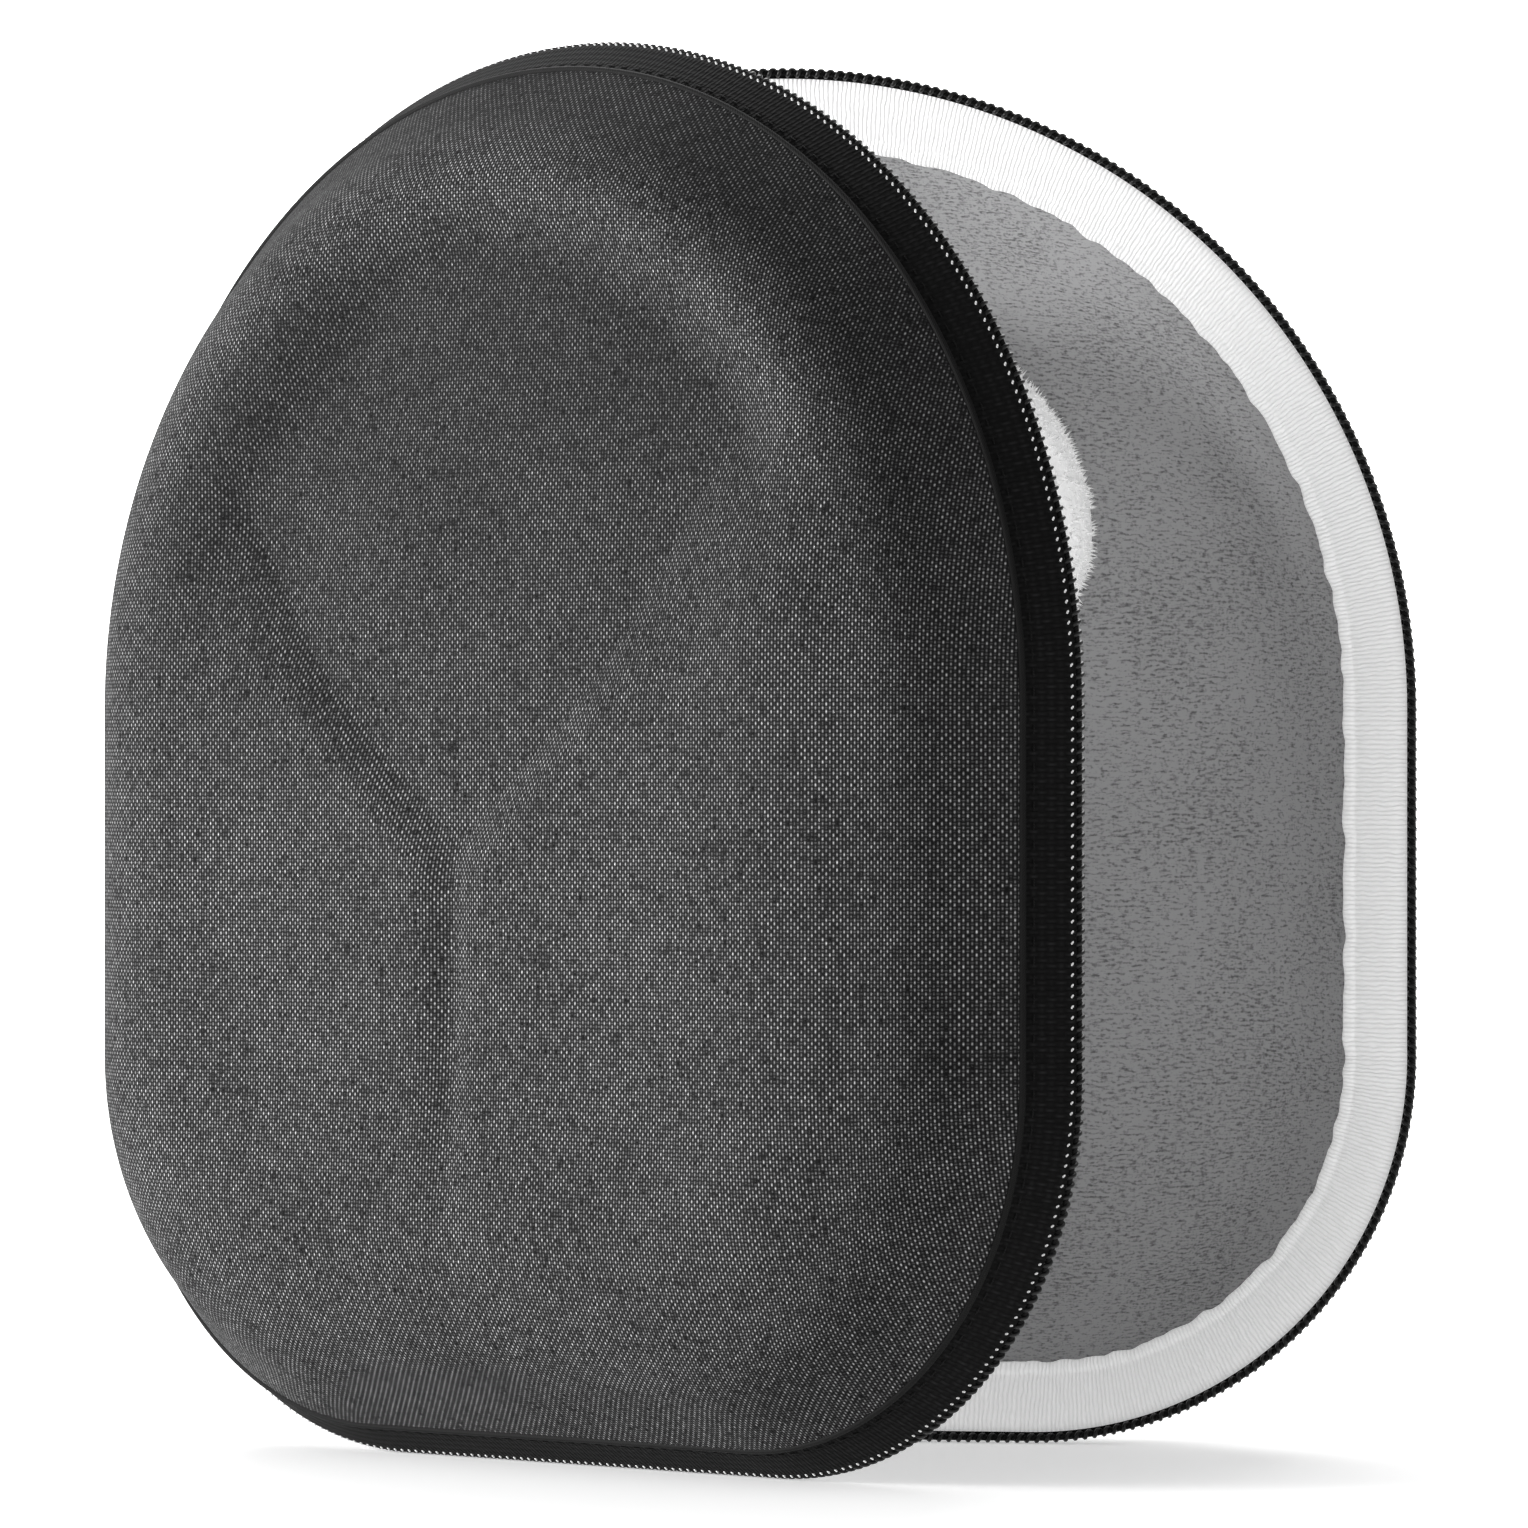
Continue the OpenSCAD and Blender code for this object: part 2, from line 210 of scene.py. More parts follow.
# The lid's sunken middle: where its crest is, how much nearer to the edge it comes away from
# the hinge and over which stretch, how far it slopes in, how deep it is, and how it rises again
crest_in = 28
crest_shift = 8
shift_from = -70
shift_run = 100
scoop_run = 17
scoop_deep = 7.6
scoop_rise = 0.55
rise_run = 46
# Towards the hinge its slope is longer, and a little further out it is shallower too
hinge_run = 12
hinge_reach = 60
hinge_fill = 0.4
hinge_lag = 0.3
# The V below it: half width, height and rounding of its foot, and the slope of its arms
foot_x = 5
foot_z = 104
foot_round = 3
arm_angle = math.radians(42)
# The slope along its arms: how wide, where it lies, how hollow, and how it fades out sideways
edge_soft = 8.5
edge_at = 0.62
edge_hollow = 1.8
edge_mix = 0.7
arm_fade = 24
fade_from = 32
fade_run = 30
# The groove that runs down from the foot, and the stretch over which it fades out
groove_deep = 1.9
groove_half = 4.2
groove_end = 25
groove_fade = 55


def depth(half, x, z):
    """How far the outer face lies behind the middle of the zip."""
    inwards = inset(x, z)
    deep = curve_through(face_lines[half], inwards)
    if half == "base":
        return deep
    out = np.sqrt(x * x + foot_round**2) - foot_x
    above = (z - foot_z) * math.cos(arm_angle) - out * math.sin(arm_angle)
    soft = edge_soft + arm_fade * smooth((np.abs(x) - fade_from) / fade_run)
    over = np.clip(above / soft + edge_at, 0, 1)
    in_scoop = edge_mix * over**edge_hollow + (1 - edge_mix) * smooth(over)
    away = smooth((x - shift_from) / shift_run)
    past = inwards - crest_in + crest_shift * away
    swell = swell_high * np.exp(-(((inwards - swell_in) / swell_half) ** 2))
    deep = deep + swell * smooth((x - swell_from) / swell_run)
    slope = smooth(past / (scoop_run + hinge_run * smooth(-x / hinge_reach)))
    fill = 1 - scoop_rise * smooth((past - scoop_run) / rise_run)
    fill = fill * (1 - hinge_fill * smooth(-x / hinge_reach - hinge_lag))
    groove = groove_deep * np.exp(-((x / groove_half) ** 2)) * smooth((z - groove_end) / groove_fade)
    return deep - scoop_deep * slope * fill * in_scoop - groove * (1 - in_scoop)


def on_half(half, points):
    """Points of a half, drawn as if on the base, moved to where that half stands."""
    if half == "base":
        return points
    x, y = points[..., 0] + half_width, meet_y - points[..., 1]
    turned_x = x * math.cos(open_angle) + y * math.sin(open_angle) - half_width
    turned_y = y * math.cos(open_angle) - x * math.sin(open_angle) + meet_y
    return np.stack([turned_x, turned_y, points[..., 2]], -1)


def piece(name, points, faces, uvs=None, flip=False, sharp=50):
    """A mesh object from points in mm; uvs are one [along, across] in mm for each point."""
    mesh = bpy.data.meshes.new(name)
    mesh.from_pydata((np.asarray(points) / 1000).tolist(), [], faces)
    if uvs is not None:
        layer = mesh.uv_layers.new(name="cloth")
        corners = np.zeros(len(mesh.loops), np.int32)
        mesh.loops.foreach_get("vertex_index", corners)
        layer.data.foreach_set("uv", np.asarray(uvs, np.float32)[corners].ravel())
    work = bmesh.new()
    work.from_mesh(mesh)
    bmesh.ops.remove_doubles(work, verts=work.verts, dist=2e-6)
    bmesh.ops.dissolve_degenerate(work, edges=work.edges, dist=1e-7)
    if flip:
        bmesh.ops.reverse_faces(work, faces=work.faces)
    work.to_mesh(mesh)
    work.free()
    mesh.polygons.foreach_set("use_smooth", np.ones(len(mesh.polygons), bool))
    mesh.set_sharp_from_angle(angle=math.radians(sharp))
    made = bpy.data.objects.new(name, mesh)
    bpy.context.scene.collection.objects.link(made)
    return made


def quads(rows, columns, first=0, close_rows=False, close_columns=False):
    """Quads over a grid of points that is stored row after row."""
    down = rows if close_rows else rows - 1
    across = columns if close_columns else columns - 1
    r, c = np.meshgrid(np.arange(down), np.arange(across), indexing="ij")
    r, c = r.ravel(), c.ravel()
    below, beside = (r + 1) % rows, (c + 1) % columns
    grid = [r * columns + c, below * columns + c, below * columns + beside, r * columns + beside]
    return (np.stack(grid, 1) + first).tolist()


# Rings run inwards to inset_last, and then shrink on to a short upright line in the middle
inset_last = 60
middle_reach = 54
middle_low = 96
middle_high = 146
# Step over which the slope of the face is measured
slope_step = 0.4


def skin(name, half, top, thick, edge, step):
    """One moulded layer, from top to top + thick below the outer face, cut off at inset edge."""
    count = int(girth / step)
    place = stations(np.arange(count) * girth / count)
    rings = np.linspace(edge, inset_last, int((inset_last - edge) / step * 1.1))
    x = place[:, 0] - rings[:, None] * place[:, 2]
    z = place[:, 1] - rings[:, None] * place[:, 3]
    shrink = np.linspace(0, 1, int(middle_reach / step))[1:, None]
    x = np.concatenate([x, x[-1] * (1 - shrink)])
    z = np.concatenate([z, z[-1] + (np.clip(z[-1], middle_low, middle_high) - z[-1]) * shrink])
    deep = depth(half, x, z)
    # Slope of the face, for its normals
    h = slope_step
    slope_x = (depth(half, x + h, z) - depth(half, x - h, z)) / (2 * h)
    slope_z = (depth(half, x, z + h) - depth(half, x, z - h)) / (2 * h)
    normal = np.stack([-slope_x, np.ones_like(deep), -slope_z], -1)
    normal /= np.linalg.norm(normal, axis=-1, keepdims=True)
    face = np.stack([x, deep, z], -1)
    # The flat cut of the layer: the wall is laid out at its true length beyond the face
    steps = np.linspace(edge, inset_last, 400)
    rise = np.gradient(curve_through(face_lines[half], steps), steps)
    extra = np.cumsum((np.sqrt(1 + rise**2) - 1)[::-1])[::-1] * (steps[1] - steps[0])
    out = np.concatenate([np.interp(rings, steps, extra), np.zeros(len(shrink))])[:, None]
    flat = np.stack([x + out * place[:, 2], z + out * place[:, 3]], -1).reshape(-1, 2)
    rows = len(x)
    sheets = [face - top * normal, face - (top + thick) * normal]
    points = np.concatenate([on_half(half, sheet).reshape(-1, 3) for sheet in sheets])
    outer = quads(rows, count, close_columns=True)
    inner = [f[::-1] for f in quads(rows, count, rows * count, close_columns=True)]
    beside = (np.arange(count) + 1) % count
    under = rows * count
    rim = np.stack([np.arange(count), beside, beside + under, np.arange(count) + under], 1).tolist()
    return piece(name, points, outer + inner + rim, np.tile(flat, (2, 1)), flip=half == "base")


def maths(tree, operation, *values):
    """The output of a Math node, from numbers and other outputs."""
    node = tree.nodes.new("ShaderNodeMath")
    node.operation = operation
    for socket, value in zip(node.inputs, values):
        if isinstance(value, (int, float)):
            socket.default_value = value
        else:
            tree.links.new(value, socket)
    return node.outputs[0]


def clamp(tree, value):
    """A value kept between 0 and 1."""
    return maths(tree, "MINIMUM", maths(tree, "MAXIMUM", value, 0.0), 1.0)


def grain(tree, at, scale, detail=2.0):
    """Soft random grain from 0 to 1 at a place."""
    node = tree.nodes.new("ShaderNodeTexNoise")
    node.inputs["Scale"].default_value = scale
    node.inputs["Detail"].default_value = detail
    tree.links.new(at, node.inputs["Vector"])
    return node.outputs[0]


def tint(tree, shader, share, dark, light):
    """Colours the shader between dark, at share 0, and light, at share 1."""
    node = tree.nodes.new("ShaderNodeMix")
    node.data_type = "RGBA"
    node.inputs["A"].default_value = (*dark, 1)
    node.inputs["B"].default_value = (*light, 1)
    tree.links.new(share, node.inputs["Factor"])
    tree.links.new(node.outputs["Result"], shader.inputs["Base Color"])


def relief(tree, shader, rise, deep_mm, strength=1.0):
    """Raises the surface by deep_mm where rise is 1."""
    node = tree.nodes.new("ShaderNodeBump")
    node.inputs["Strength"].default_value = strength
    node.inputs["Distance"].default_value = deep_mm / 1000
    tree.links.new(rise, node.inputs["Height"])
    tree.links.new(node.outputs["Normal"], shader.inputs["Normal"])


def finish_of(name, rough, **settings):
    """A new material with its node tree and shader; settings are the shader's own numbers."""
    material = bpy.data.materials.new(name)
    material.use_nodes = True
    shader = material.node_tree.nodes["Principled BSDF"]
    shader.inputs["Roughness"].default_value = rough
    for setting, value in settings.items():
        shader.inputs[setting.replace("_", " ")].default_value = value
    return material, material.node_tree, shader


def place_in_space(tree):
    """Where a point of the piece is, in metres."""
    return tree.nodes.new("ShaderNodeTexCoord").outputs["Object"]


foam, tree, shader = finish_of("shell_foam", 0.85)
cells = tree.nodes.new("ShaderNodeTexVoronoi")
cells.inputs["Scale"].default_value = 1400
tree.links.new(place_in_space(tree), cells.inputs["Vector"])
tint(tree, shader, cells.outputs["Distance"], (0.012, 0.012, 0.012), (0.035, 0.035, 0.036))
relief(tree, shader, cells.outputs["Distance"], 0.2)

cover_t = 0.9
shell_top = 1.0
shell_t = 3.6
lid_shell = skin("lid_shell_moulded", "lid", shell_top, shell_t, edge=6.4, step=3.2)
lid_shell.data.materials.append(foam)
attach(lid_shell, "lid")
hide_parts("lid_shell")
base_shell = frame["nodes"]["base_shell"]
base_shell.data.materials.clear()
base_shell.data.materials.append(foam)


# Woven covers. Heather dark-grey polyester in plain weave, about 16 threads to the centimetre,
# spun from black and light fibres so that each thread changes tone along its length. The cloth
# is laminated to the foam before moulding, and follows it round the wall to the zip tape.
def cloth_place(tree):
    """Distances along and across the flat cloth, in mm."""
    node = tree.nodes.new("ShaderNodeUVMap")
    node.uv_map = "cloth"
    parts = tree.nodes.new("ShaderNodeSeparateXYZ")
    tree.links.new(node.outputs["UV"], parts.inputs["Vector"])
    return parts.outputs["X"], parts.outputs["Y"]


def plain_weave(tree, along, across, pitch, weft_share=1.0):
    """Plain weave. Gives the height, 1 where a warp thread is on top, and the thread counts."""
    u = maths(tree, "DIVIDE", along, pitch)
    v = maths(tree, "DIVIDE", across, pitch)
    i = maths(tree, "FLOOR", u)
    j = maths(tree, "FLOOR", v)
    heights = []
    for over, beside, count, start in ((v, u, i, -0.5), (u, v, j, 0.5)):
        across_thread = maths(tree, "SINE", maths(tree, "MULTIPLY", beside, math.pi))
        round_thread = maths(tree, "ABSOLUTE", across_thread)
        phase = maths(tree, "ADD", maths(tree, "ADD", over, count), start)
        lift = maths(tree, "COSINE", maths(tree, "MULTIPLY", phase, math.pi))
        lift = maths(tree, "MULTIPLY_ADD", lift, 0.36, 0.64)
        heights.append(maths(tree, "MULTIPLY", round_thread, lift))
    warp, weft = heights[0], maths(tree, "MULTIPLY", heights[1], weft_share)
    return maths(tree, "MAXIMUM", warp, weft), maths(tree, "GREATER_THAN", warp, weft), (u, v, i, j)


def vector_of(tree, x, y, z=0.0):
    """A vector from two outputs and a number."""
    node = tree.nodes.new("ShaderNodeCombineXYZ")
    for socket, value in zip(node.inputs, (x, y, z)):
        if isinstance(value, (int, float)):
            socket.default_value = value
        else:
            tree.links.new(value, socket)
    return node.outputs[0]


def thread_tone(tree, counts, over_warp, melange):
    """Tone of the thread on top, which changes slowly along each thread."""
    u, v, i, j = counts
    warp_at = vector_of(tree, maths(tree, "MULTIPLY", i, 3.7), maths(tree, "MULTIPLY", v, melange))
    weft_at = vector_of(tree, maths(tree, "MULTIPLY", u, melange), maths(tree, "MULTIPLY", j, 3.7), 5.5)
    warp = grain(tree, warp_at, 1.0, 3.0)
    weft = grain(tree, weft_at, 1.0, 3.0)
    warp_on = maths(tree, "MULTIPLY", warp, over_warp)
    weft_on = maths(tree, "MULTIPLY", weft, maths(tree, "SUBTRACT", 1.0, over_warp))
    return maths(tree, "ADD", warp_on, weft_on)


# Painted shade on the lid's cloth: darker in a band at the edge and all within the arch,
# both stronger towards the top
shade_edge_in = 22
shade_edge_run = 16
shade_arch_in = crest_in - 4
shade_arch_run = 14
shade_low = 100
shade_rise = 85


def painted_shade_share(tree, along, across):
    """How much painted shade darkens the cloth at a place, from 0 to 1."""
    up = maths(tree, "SUBTRACT", across, arch_z)
    squares = maths(tree, "ADD", maths(tree, "MULTIPLY", along, along), maths(tree, "MULTIPLY", up, up))
    reach = maths(tree, "SQRT", squares)
    in_arch = (half_width - shade_arch_in) / shade_arch_run
    in_arch = clamp(tree, maths(tree, "MULTIPLY_ADD", reach, -1 / shade_arch_run, in_arch))
    at_edge = -(half_width - shade_edge_in) / shade_edge_run
    at_edge = clamp(tree, maths(tree, "MULTIPLY_ADD", reach, 1 / shade_edge_run, at_edge))
    high = maths(tree, "DIVIDE", maths(tree, "SUBTRACT", across, shade_low), shade_rise)
    return maths(tree, "MULTIPLY", maths(tree, "MAXIMUM", in_arch, at_edge), clamp(tree, high))


# Distance between neighbouring threads
heather_pitch = 0.62


def heather(name, painted_shade):
    """The woven cloth; the second argument is how much darker painted shade makes it."""
    material, tree, shader = finish_of(name, 0.9, Specular_IOR_Level=0.1)
    along, across = cloth_place(tree)
    rise, over_warp, counts = plain_weave(tree, along, across, heather_pitch, 0.8)
    tone = thread_tone(tree, counts, over_warp, 0.3)
    tone = maths(tree, "MULTIPLY_ADD", maths(tree, "SUBTRACT", tone, 0.5), 2.4, 0.5)
    # Painted highlight and shade: the crowns of the threads are painted lighter and the gaps between
    # threads darker
    lit = maths(tree, "POWER", rise, 4.4)
    lit = maths(tree, "MULTIPLY", lit, maths(tree, "MULTIPLY_ADD", over_warp, 0.55, 0.45))
    cloudy = grain(tree, vector_of(tree, along, across), 0.035, 4.0)
    tone = maths(tree, "ADD", tone, maths(tree, "MULTIPLY_ADD", cloudy, 0.5, -0.25))
    share = maths(tree, "MULTIPLY", lit, tone)
    # Painted shade: darkens the lid's cloth at its edge and within the arch, more towards the top
    if painted_shade:
        shade_here = painted_shade_share(tree, along, across)
        share = maths(tree, "MULTIPLY", share, maths(tree, "MULTIPLY_ADD", shade_here, -painted_shade, 1.0))
    tint(tree, shader, clamp(tree, share), (0.006, 0.006, 0.0062), (0.60, 0.60, 0.605))
    relief(tree, shader, rise, 0.07)
    return material


cloths = {"base": heather("heather_weave", 0), "lid": heather("heather_weave_painted_shade", 0.5)}
cover_edge = 5.3
# The lid's cover is drawn more finely, because it has the relief
cover_steps = {"base": 2.6, "lid": 1.3}
for half in ("base", "lid"):
    cover = skin(half + "_cover_woven", half, 0, cover_t, cover_edge, cover_steps[half])
    cover.data.materials.append(cloths[half])
    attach(cover, half)
    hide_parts(half + "_cover")

# Knit linings. Brushed light-grey knit, laminated to the inner face of the foam. The knit has
# short level dashes of darker yarn, and it ends under the rolled edge of the collar.
knit, tree, shader = finish_of("knit_lining", 0.95, Specular_IOR_Level=0.1)
along, across = cloth_place(tree)
level = maths(tree, "MULTIPLY", along, 0.55)
dashes = grain(tree, vector_of(tree, level, maths(tree, "MULTIPLY", across, 2.1)), 1.0, 2.0)
specks = grain(tree, vector_of(tree, along, across, 3.0), 1.7, 3.0)
fuzz = grain(tree, vector_of(tree, along, across, 7.0), 0.06, 2.0)
share = maths(tree, "ADD", maths(tree, "MULTIPLY", dashes, 0.9), maths(tree, "MULTIPLY", specks, 0.6))
share = maths(tree, "ADD", share, maths(tree, "MULTIPLY", fuzz, 0.2))
share = maths(tree, "MULTIPLY_ADD", maths(tree, "SUBTRACT", share, 0.8), 4.0, 0.75)
share = clamp(tree, share)
tint(tree, shader, share, (0.15, 0.15, 0.152), (0.40, 0.40, 0.405))
relief(tree, shader, share, 0.15, 0.7)

lining_top = 4.7
lining_t = 1.0
lining_edge = 8.4
for half in ("base", "lid"):
    lining = skin(half + "_lining_knit", half, lining_top, lining_t, lining_edge, step=2.8)
    lining.data.materials.append(knit)
    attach(lining, half)
    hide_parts(half + "_lining")


# Zip tapes. Black plain-woven tape 10.5 mm wide, sewn to the cover along its inner edge. It lies
# at a slant between the coil and the cover. On the lid it is folded back beside the hinge,
# where the two sliders park.
def way_up_hinge_side(z):
    """Distance along the outline, before the start, of a height on the straight hinge side."""
    return z - arch_z


# The stretch beside the hinge where the sliders park, how far it reaches from the outline, and
# how soon the cloth above and below is back in place
park_low = 42
park_high = 152
park_wide = 12
park_soft = 6


def parked(place):
    """1 on the lid's hinge side where the sliders park, 0 elsewhere."""
    x, z = place[:, 0], place[:, 1]
    beside_hinge = x < -half_width + park_wide
    return smooth((park_high - z) / park_soft) * smooth((z - park_low) / park_soft) * beside_hinge


def rounded(points, count):
    """A closed smooth loop of count points through the given ones."""
    ring = np.array(points, float)
    t = np.linspace(0, len(ring), count, endpoint=False)
    k = t.astype(int)
    f = (t - k)[:, None]
    a, b, c, d = (ring[(k + s) % len(ring)] for s in (-1, 0, 1, 2))
    bend = (2 * a - 5 * b + 4 * c - d) * f**2
    twist = (3 * b - a - 3 * c + d) * f**3
    return 0.5 * (2 * b + (c - a) * f + bend + twist)


def strip(name, half, way, sections, closed=False):
    """A band along the outline. sections holds a ring of [inset, depth] for each station."""
    place = stations(way)
    e, d = sections[..., 0], sections[..., 1]
    x = place[:, None, 0] - e * place[:, None, 2]
    z = place[:, None, 1] - e * place[:, None, 3]
    points = on_half(half, np.stack([x, d, z], -1))
    rows, columns = e.shape
    faces = quads(rows, columns, close_rows=closed, close_columns=True)
    if not closed:
        faces += [list(range(columns))[::-1], list(range((rows - 1) * columns, rows * columns))]
    sides = np.linalg.norm(np.diff(sections[0], axis=0), axis=1)
    across = np.concatenate([[0], np.cumsum(sides)])
    uvs = np.stack(np.meshgrid(way, across, indexing="ij"), -1).reshape(-1, 2)
    return piece(name, points.reshape(-1, 3), faces, uvs, flip=half == "base")


# Sections of the tape, each a ring of [inset, depth], and where it ends beside the hinge
tape_top = [(4.9, 8.1), (5.3, 8.5), (5.9, 7.9)]
tape_full = [(0.35, 1.35), (1.9, 3.7), (3.5, 6.0)] + tape_top
tape_full += [(4.4, 5.6), (2.9, 3.4), (1.5, 1.3), (0.9, 1.1)]
tape_back = [(2.2, 4.0), (3.1, 5.3), (4.0, 6.6)] + tape_top
tape_back += [(5.1, 6.6), (4.2, 5.2), (3.3, 3.9), (2.8, 3.7)]
tape_ends = {"base": (123, 71), "lid": (114, 71)}

tape_cloth, tree, shader = finish_of("black_tape", 0.8, Specular_IOR_Level=0.12)
along, across = cloth_place(tree)
rise, over_warp, counts = plain_weave(tree, along, across, 0.9, 0.8)
tone = thread_tone(tree, counts, over_warp, 0.5)
tone = maths(tree, "MULTIPLY_ADD", tone, 2.4, -0.7)
# Painted highlight and shade: the crowns of the threads are painted lighter and the gaps between threads
# darker
share = maths(tree, "MULTIPLY", maths(tree, "POWER", rise, 3.0), tone)
share = clamp(tree, share)
tint(tree, shader, share, (0.0015, 0.0015, 0.0015), (0.016, 0.016, 0.0165))
relief(tree, shader, rise, 0.2)

for half in ("base", "lid"):
    top_z, low_z = tape_ends[half]
    way = np.arange(way_up_hinge_side(top_z), girth + way_up_hinge_side(low_z), 1.5)
    share = (parked(stations(way)) if half == "lid" else np.zeros(len(way)))[:, None, None]
    full, back = rounded(tape_full, 20), rounded(tape_back, 20)
    tape = strip(half + "_tape_woven", half, way, full * (1 - share) + back * share)
    tape.data.materials.append(tape_cloth)
    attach(tape, half)
    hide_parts(half + "_zip_tape")


# Seam cords. Where tape and cover meet, a thin black waxed cord fills the groove; its black is partly
# the seam's own and partly painted shade for the groove. A row of black lockstitches runs beside it
# through tape, cover and collar.
def rope_ring(e, d, radius, count=8):
    """A round section at an inset and depth."""
    turn = np.linspace(0, 2 * math.pi, count, endpoint=False)
    return np.stack([e + radius * np.cos(turn), d + radius * np.sin(turn)], 1)


def capsules(name, half, way, e, d, long_half, radius, lean=0.0):
    """A row of short round stitches, each lying along the outline, turned by lean across it."""
    place = stations(way)
    turn = np.linspace(0, 2 * math.pi, 6, endpoint=False)
    rounds = [(-1, 0.35), (-0.6, 0.9), (0, 1), (0.6, 0.9), (1, 0.35)]
    ring = []
    for a, b in rounds:
        for t in turn:
            ring.append((a * long_half, b * radius * math.cos(t), b * radius * math.sin(t)))
    ring = np.array(ring)
    go = ring[:, 0] * math.cos(lean) - ring[:, 1] * math.sin(lean)
    side = ring[:, 0] * math.sin(lean) + ring[:, 1] * math.cos(lean)
    nx, nz = place[:, None, 2], place[:, None, 3]
    x = place[:, None, 0] - (e + side) * nx + go * nz
    z = place[:, None, 1] - (e + side) * nz - go * nx
    y = d + ring[:, 2] + 0 * x
    one = quads(len(rounds), len(turn), close_columns=True)
    one += [list(range(6))[::-1], list(range(len(ring) - 6, len(ring)))]
    faces = [[v + k * len(ring) for v in f] for k in range(len(way)) for f in one]
    points = on_half(half, np.stack([x, y, z], -1)).reshape(-1, 3)
    uvs = np.tile(np.stack([ring[:, 0], ring[:, 1]], 1), (len(way), 1))
    return piece(name, points, faces, uvs, flip=half == "base")


def thread_finish(name, dark, light, rough):
    """Twisted sewing thread."""
    material, tree, shader = finish_of(name, rough, Specular_IOR_Level=0.15)
    along, across = cloth_place(tree)
    twist = maths(tree, "SINE", maths(tree, "MULTIPLY", maths(tree, "ADD", along, across), 14.0))
    # Painted shade: the ridges of the twist are painted lighter than its grooves
    share = maths(tree, "MULTIPLY_ADD", twist, 0.4, 0.5)
    tint(tree, shader, share, dark, light)
    relief(tree, shader, share, 0.05)
    return material


black_thread = thread_finish("black_thread", (0.002, 0.002, 0.002), (0.007, 0.007, 0.007), 0.7)
seam_pitch = 3.1
for half in ("base", "lid"):
    way = np.arange(0, girth, 1.6)
    sections = np.tile(rope_ring(e=5.15, d=8.8, radius=0.6), (len(way), 1, 1))
    # Partly painted shade: the black cord fills the groove where tape and cover meet
    cord = strip(half + "_seam_cord_groove_shade", half, way, sections, closed=True)
    cord.data.materials.append(black_thread)
    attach(cord, half)
    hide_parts(half + "_seam_thread")
    ways = np.arange(0, girth - 3, seam_pitch)
    stitches = capsules(
        half + "_seam_stitches", half, ways, e=4.15, d=7.2, long_half=0.8, radius=0.15
    )
    stitches.data.materials.append(black_thread)
    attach(stitches, half)

# Zip coils. One nylon wire, wound in flat loops round a core cord and sewn to the edge of the
# tape. The loops' heads stand out past the tape, so the edge looks finely toothed.
wire_r = 0.36
loop_pitch = 1.72
loop_steps = 14
coil_half = coil_high.y * 1000
loop_in = 1.8
# Where each coil starts on the arch and ends on the corner below the hinge, in degrees
coil_ends = {"base": (1, 88), "lid": (9, 67)}


def coil_way(half):
    """First and last distance along the outline of a half's coil."""
    first, last = (math.radians(a) for a in coil_ends[half])
    return half_width * first, girth - runs[2] - corner_r * (math.pi / 2 - last)


nylon, tree, shader = finish_of("nylon_coil", 0.3, Specular_IOR_Level=0.3)
spread = grain(tree, place_in_space(tree), 900, 3.0)
tint(tree, shader, spread, (0.002, 0.002, 0.002), (0.008, 0.008, 0.008))
relief(tree, shader, spread, 0.03, 0.6)

for half in ("base", "lid"):
    first, last = coil_way(half)
    loops = int((last - first) / loop_pitch)
    t = np.arange(loops * loop_steps + 1) / loop_steps
    angle = 2 * math.pi * t
    # A flattened loop: wide across the zip, and thinner inwards
    round_e = np.sign(np.cos(angle)) * np.abs(np.cos(angle)) ** 0.8
    round_d = np.sign(np.sin(angle)) * np.abs(np.sin(angle)) ** 0.8
    e = loop_in / 2 - (loop_in / 2 - wire_r) * round_e
    d = (coil_half - wire_r) * round_d
    place = stations(first + t * loop_pitch)
    x, z = place[:, 0] - e * place[:, 2], place[:, 1] - e * place[:, 3]
    centre = np.stack([x, d, z], -1)
    go = np.gradient(centre, axis=0)
    go /= np.linalg.norm(go, axis=1, keepdims=True)
    out = np.stack([place[:, 2], np.zeros(len(t)), place[:, 3]], -1)
    side = np.cross(go, out)
    side /= np.linalg.norm(side, axis=1, keepdims=True)
    up = np.cross(side, go)
    turn = np.linspace(0, 2 * math.pi, 6, endpoint=False)[None, :, None]
    wire = centre[:, None] + wire_r * (np.cos(turn) * side[:, None] + np.sin(turn) * up[:, None])
    faces = quads(len(t), 6, close_columns=True)
    faces += [[5, 4, 3, 2, 1, 0], [len(t) * 6 - 6 + k for k in range(6)]]
    points = on_half(half, wire).reshape(-1, 3)
    coil = piece(half + "_coil_wire", points, faces, flip=half == "lid", sharp=180)
    coil.data.materials.append(nylon)
    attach(coil, half)
    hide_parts(half + "_zip_coil")
    ways = np.arange(first, last, 2.0)
    sections = np.tile(rope_ring(e=loop_in / 2, d=0, radius=0.5), (len(ways), 1, 1))
    core = strip(half + "_coil_core", half, ways, sections)
    core.data.materials.append(black_thread)
    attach(core, half)

# Coil stitches. Light grey thread sews each loop of the coil to the tape; one short stitch
# shows beside each loop.
grey_thread = thread_finish("grey_thread", (0.4, 0.4, 0.4), (0.85, 0.85, 0.85), 0.5)
for half in ("base", "lid"):
    first, last = coil_way(half)
    ways = np.arange(first, last, loop_pitch)
    stitches = capsules(
        half + "_coil_stitches", half, ways, e=0.62, d=1.9, long_half=0.36, radius=0.19, lean=0.7
    )
    stitches.data.materials.append(grey_thread)
    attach(stitches, half)
    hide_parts(half + "_coil_thread")


